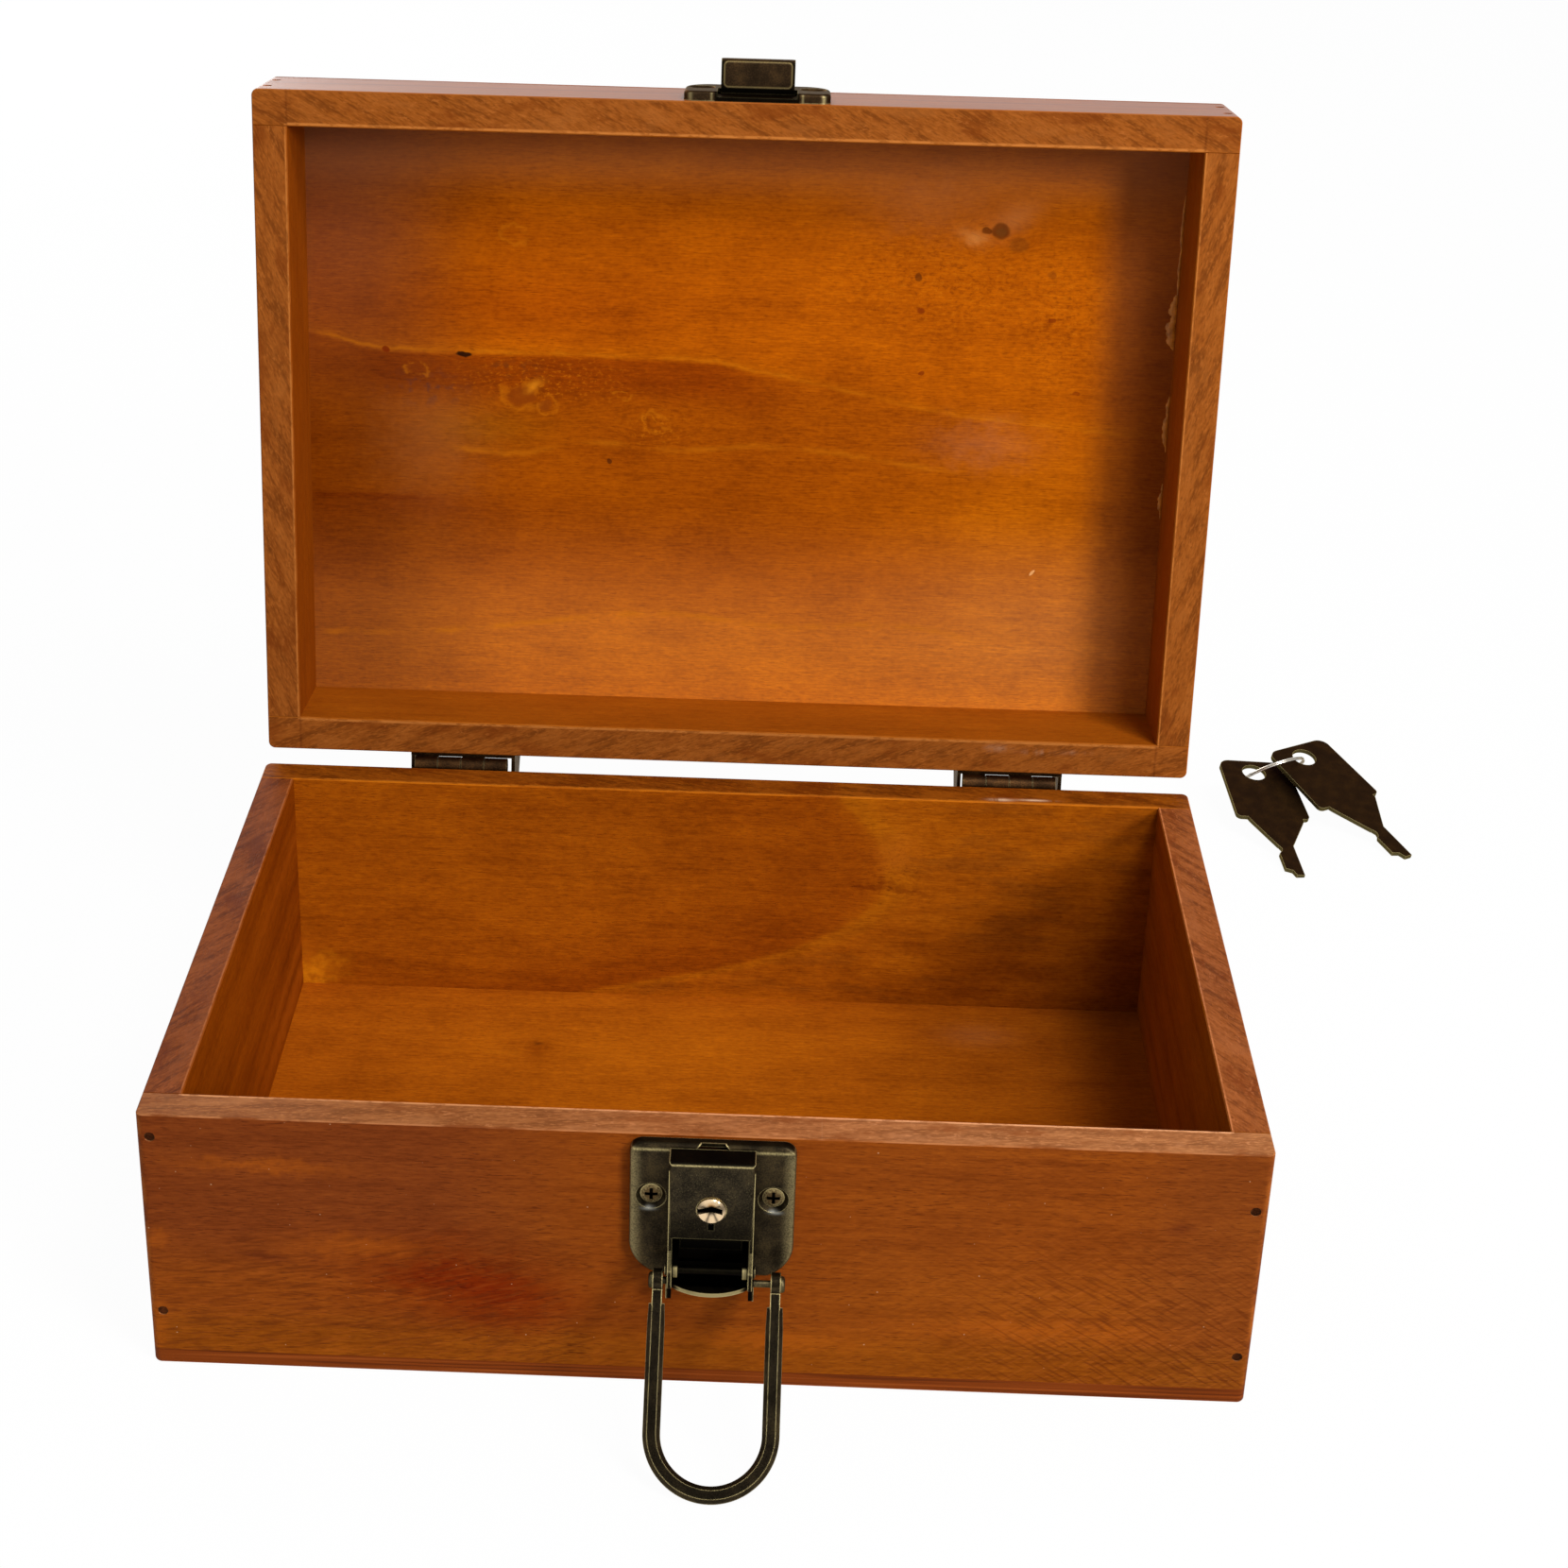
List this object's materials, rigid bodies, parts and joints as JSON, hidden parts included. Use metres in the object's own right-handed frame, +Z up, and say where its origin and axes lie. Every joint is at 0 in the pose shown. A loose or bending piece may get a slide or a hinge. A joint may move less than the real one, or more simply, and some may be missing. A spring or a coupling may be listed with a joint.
{
  "type": "wooden box",
  "caption": "Small rectangular wooden box with a deep hinged lid on stop hinges, a key-locking draw latch whose swinging bail pulls on a hook plate, and loose keys on a wire ring.",
  "frame": {"origin": "middle of the box's underside, on the surface it stands on", "axes": "+Z up, +X to the right along the box's width, -Y towards the front with the latch; the lid stands open on its stops at the back"},
  "size_m": [0.3096, 0.3354, 0.2325],
  "materials": {
    "stained_board": "satin orange-brown stain over fine straight grain",
    "stained_plywood": "satin orange-brown stain over flat-cut face veneer",
    "antique_bronze": "blackened brass plating on steel, rubbed bright on the edges",
    "dark_nail": "blackened steel",
    "dark_screw": "blackened steel, slightly rubbed",
    "bright_brass": "polished",
    "plain_steel": "plain",
    "dark_key_metal": "dark bronze, semi-gloss",
    "bright_wire": "bright"
  },
  "bodies": {
    "box": {"body_front_board": "stained_board", "body_back_board": "stained_board", "body_left_board": "stained_board", "body_right_board": "stained_board", "bottom_panel": "stained_plywood", "body_nails": "dark_nail", "bottom_nails": "dark_nail", "latch_base_plate": "antique_bronze", "latch_screws": "dark_screw", "latch_pivot_pin": "antique_bronze", "left_hinge_body_leaf": "antique_bronze", "left_hinge_pin": "antique_bronze", "left_hinge_body_screws": "dark_screw", "right_hinge_body_leaf": "antique_bronze", "right_hinge_pin": "antique_bronze", "right_hinge_body_screws": "dark_screw"},
    "lid": {"lid_front_board": "stained_board", "lid_back_board": "stained_board", "lid_left_board": "stained_board", "lid_right_board": "stained_board", "lid_top_panel": "stained_plywood", "lid_nails": "dark_nail", "left_hinge_lid_leaf": "antique_bronze", "left_hinge_lid_screws": "dark_screw", "right_hinge_lid_leaf": "antique_bronze", "right_hinge_lid_screws": "dark_screw", "striker_plate": "antique_bronze", "striker_screws": "dark_screw"},
    "lever": {"latch_lever": "antique_bronze", "lock_housing": "antique_bronze"},
    "lock_plug": {"key_cylinder": "bright_brass", "lock_cam": "plain_steel", "lock_cam_clip": "plain_steel"},
    "bail_pin_pair": {"bail_pins": "antique_bronze"},
    "bail_loop": {"bail": "antique_bronze"},
    "keys": {"key_1": "dark_key_metal", "key_2": "dark_key_metal", "key_ring": "bright_wire"}
  },
  "joints": [
    {"name": "lid_hinge", "type": "hinge", "parent": "box", "child": "lid", "pos_m": [0, 0.08365, 0.06185], "axis": [-1, 0, 0], "range_deg": [-97.5, 0]},
    {"name": "lever_pivot", "type": "hinge", "parent": "box", "child": "lever", "pos_m": [0.0022, -0.08855, 0.0348], "axis": [1, 0, 0], "range_deg": [0, 100]},
    {"name": "key_turn", "type": "hinge", "parent": "lever", "child": "lock_plug", "pos_m": [0.0022, -0.0865, 0.0501], "axis": [0, -1, 0], "range_deg": [-90, 0]},
    {"name": "bail_pins_turn", "type": "hinge", "parent": "lever", "child": "bail_pin_pair", "pos_m": [0.0022, -0.08875, 0.0322], "axis": [1, 0, 0], "range_deg": [-100, 0]},
    {"name": "bail_swing", "type": "hinge", "parent": "bail_pin_pair", "child": "bail_loop", "pos_m": [0.00365, -0.08875, 0.0322], "axis": [-1, 0, 0], "range_deg": [0, 136]},
    {"name": "keys_lift", "type": "slide", "parent": "box", "child": "keys", "axis": [0, 0, 1], "range_m": [0, 0.05]}
  ],
  "couplings": [
    {"joint": "bail_pins_turn", "follows": "lever_pivot", "ratio": -1}
  ]
}
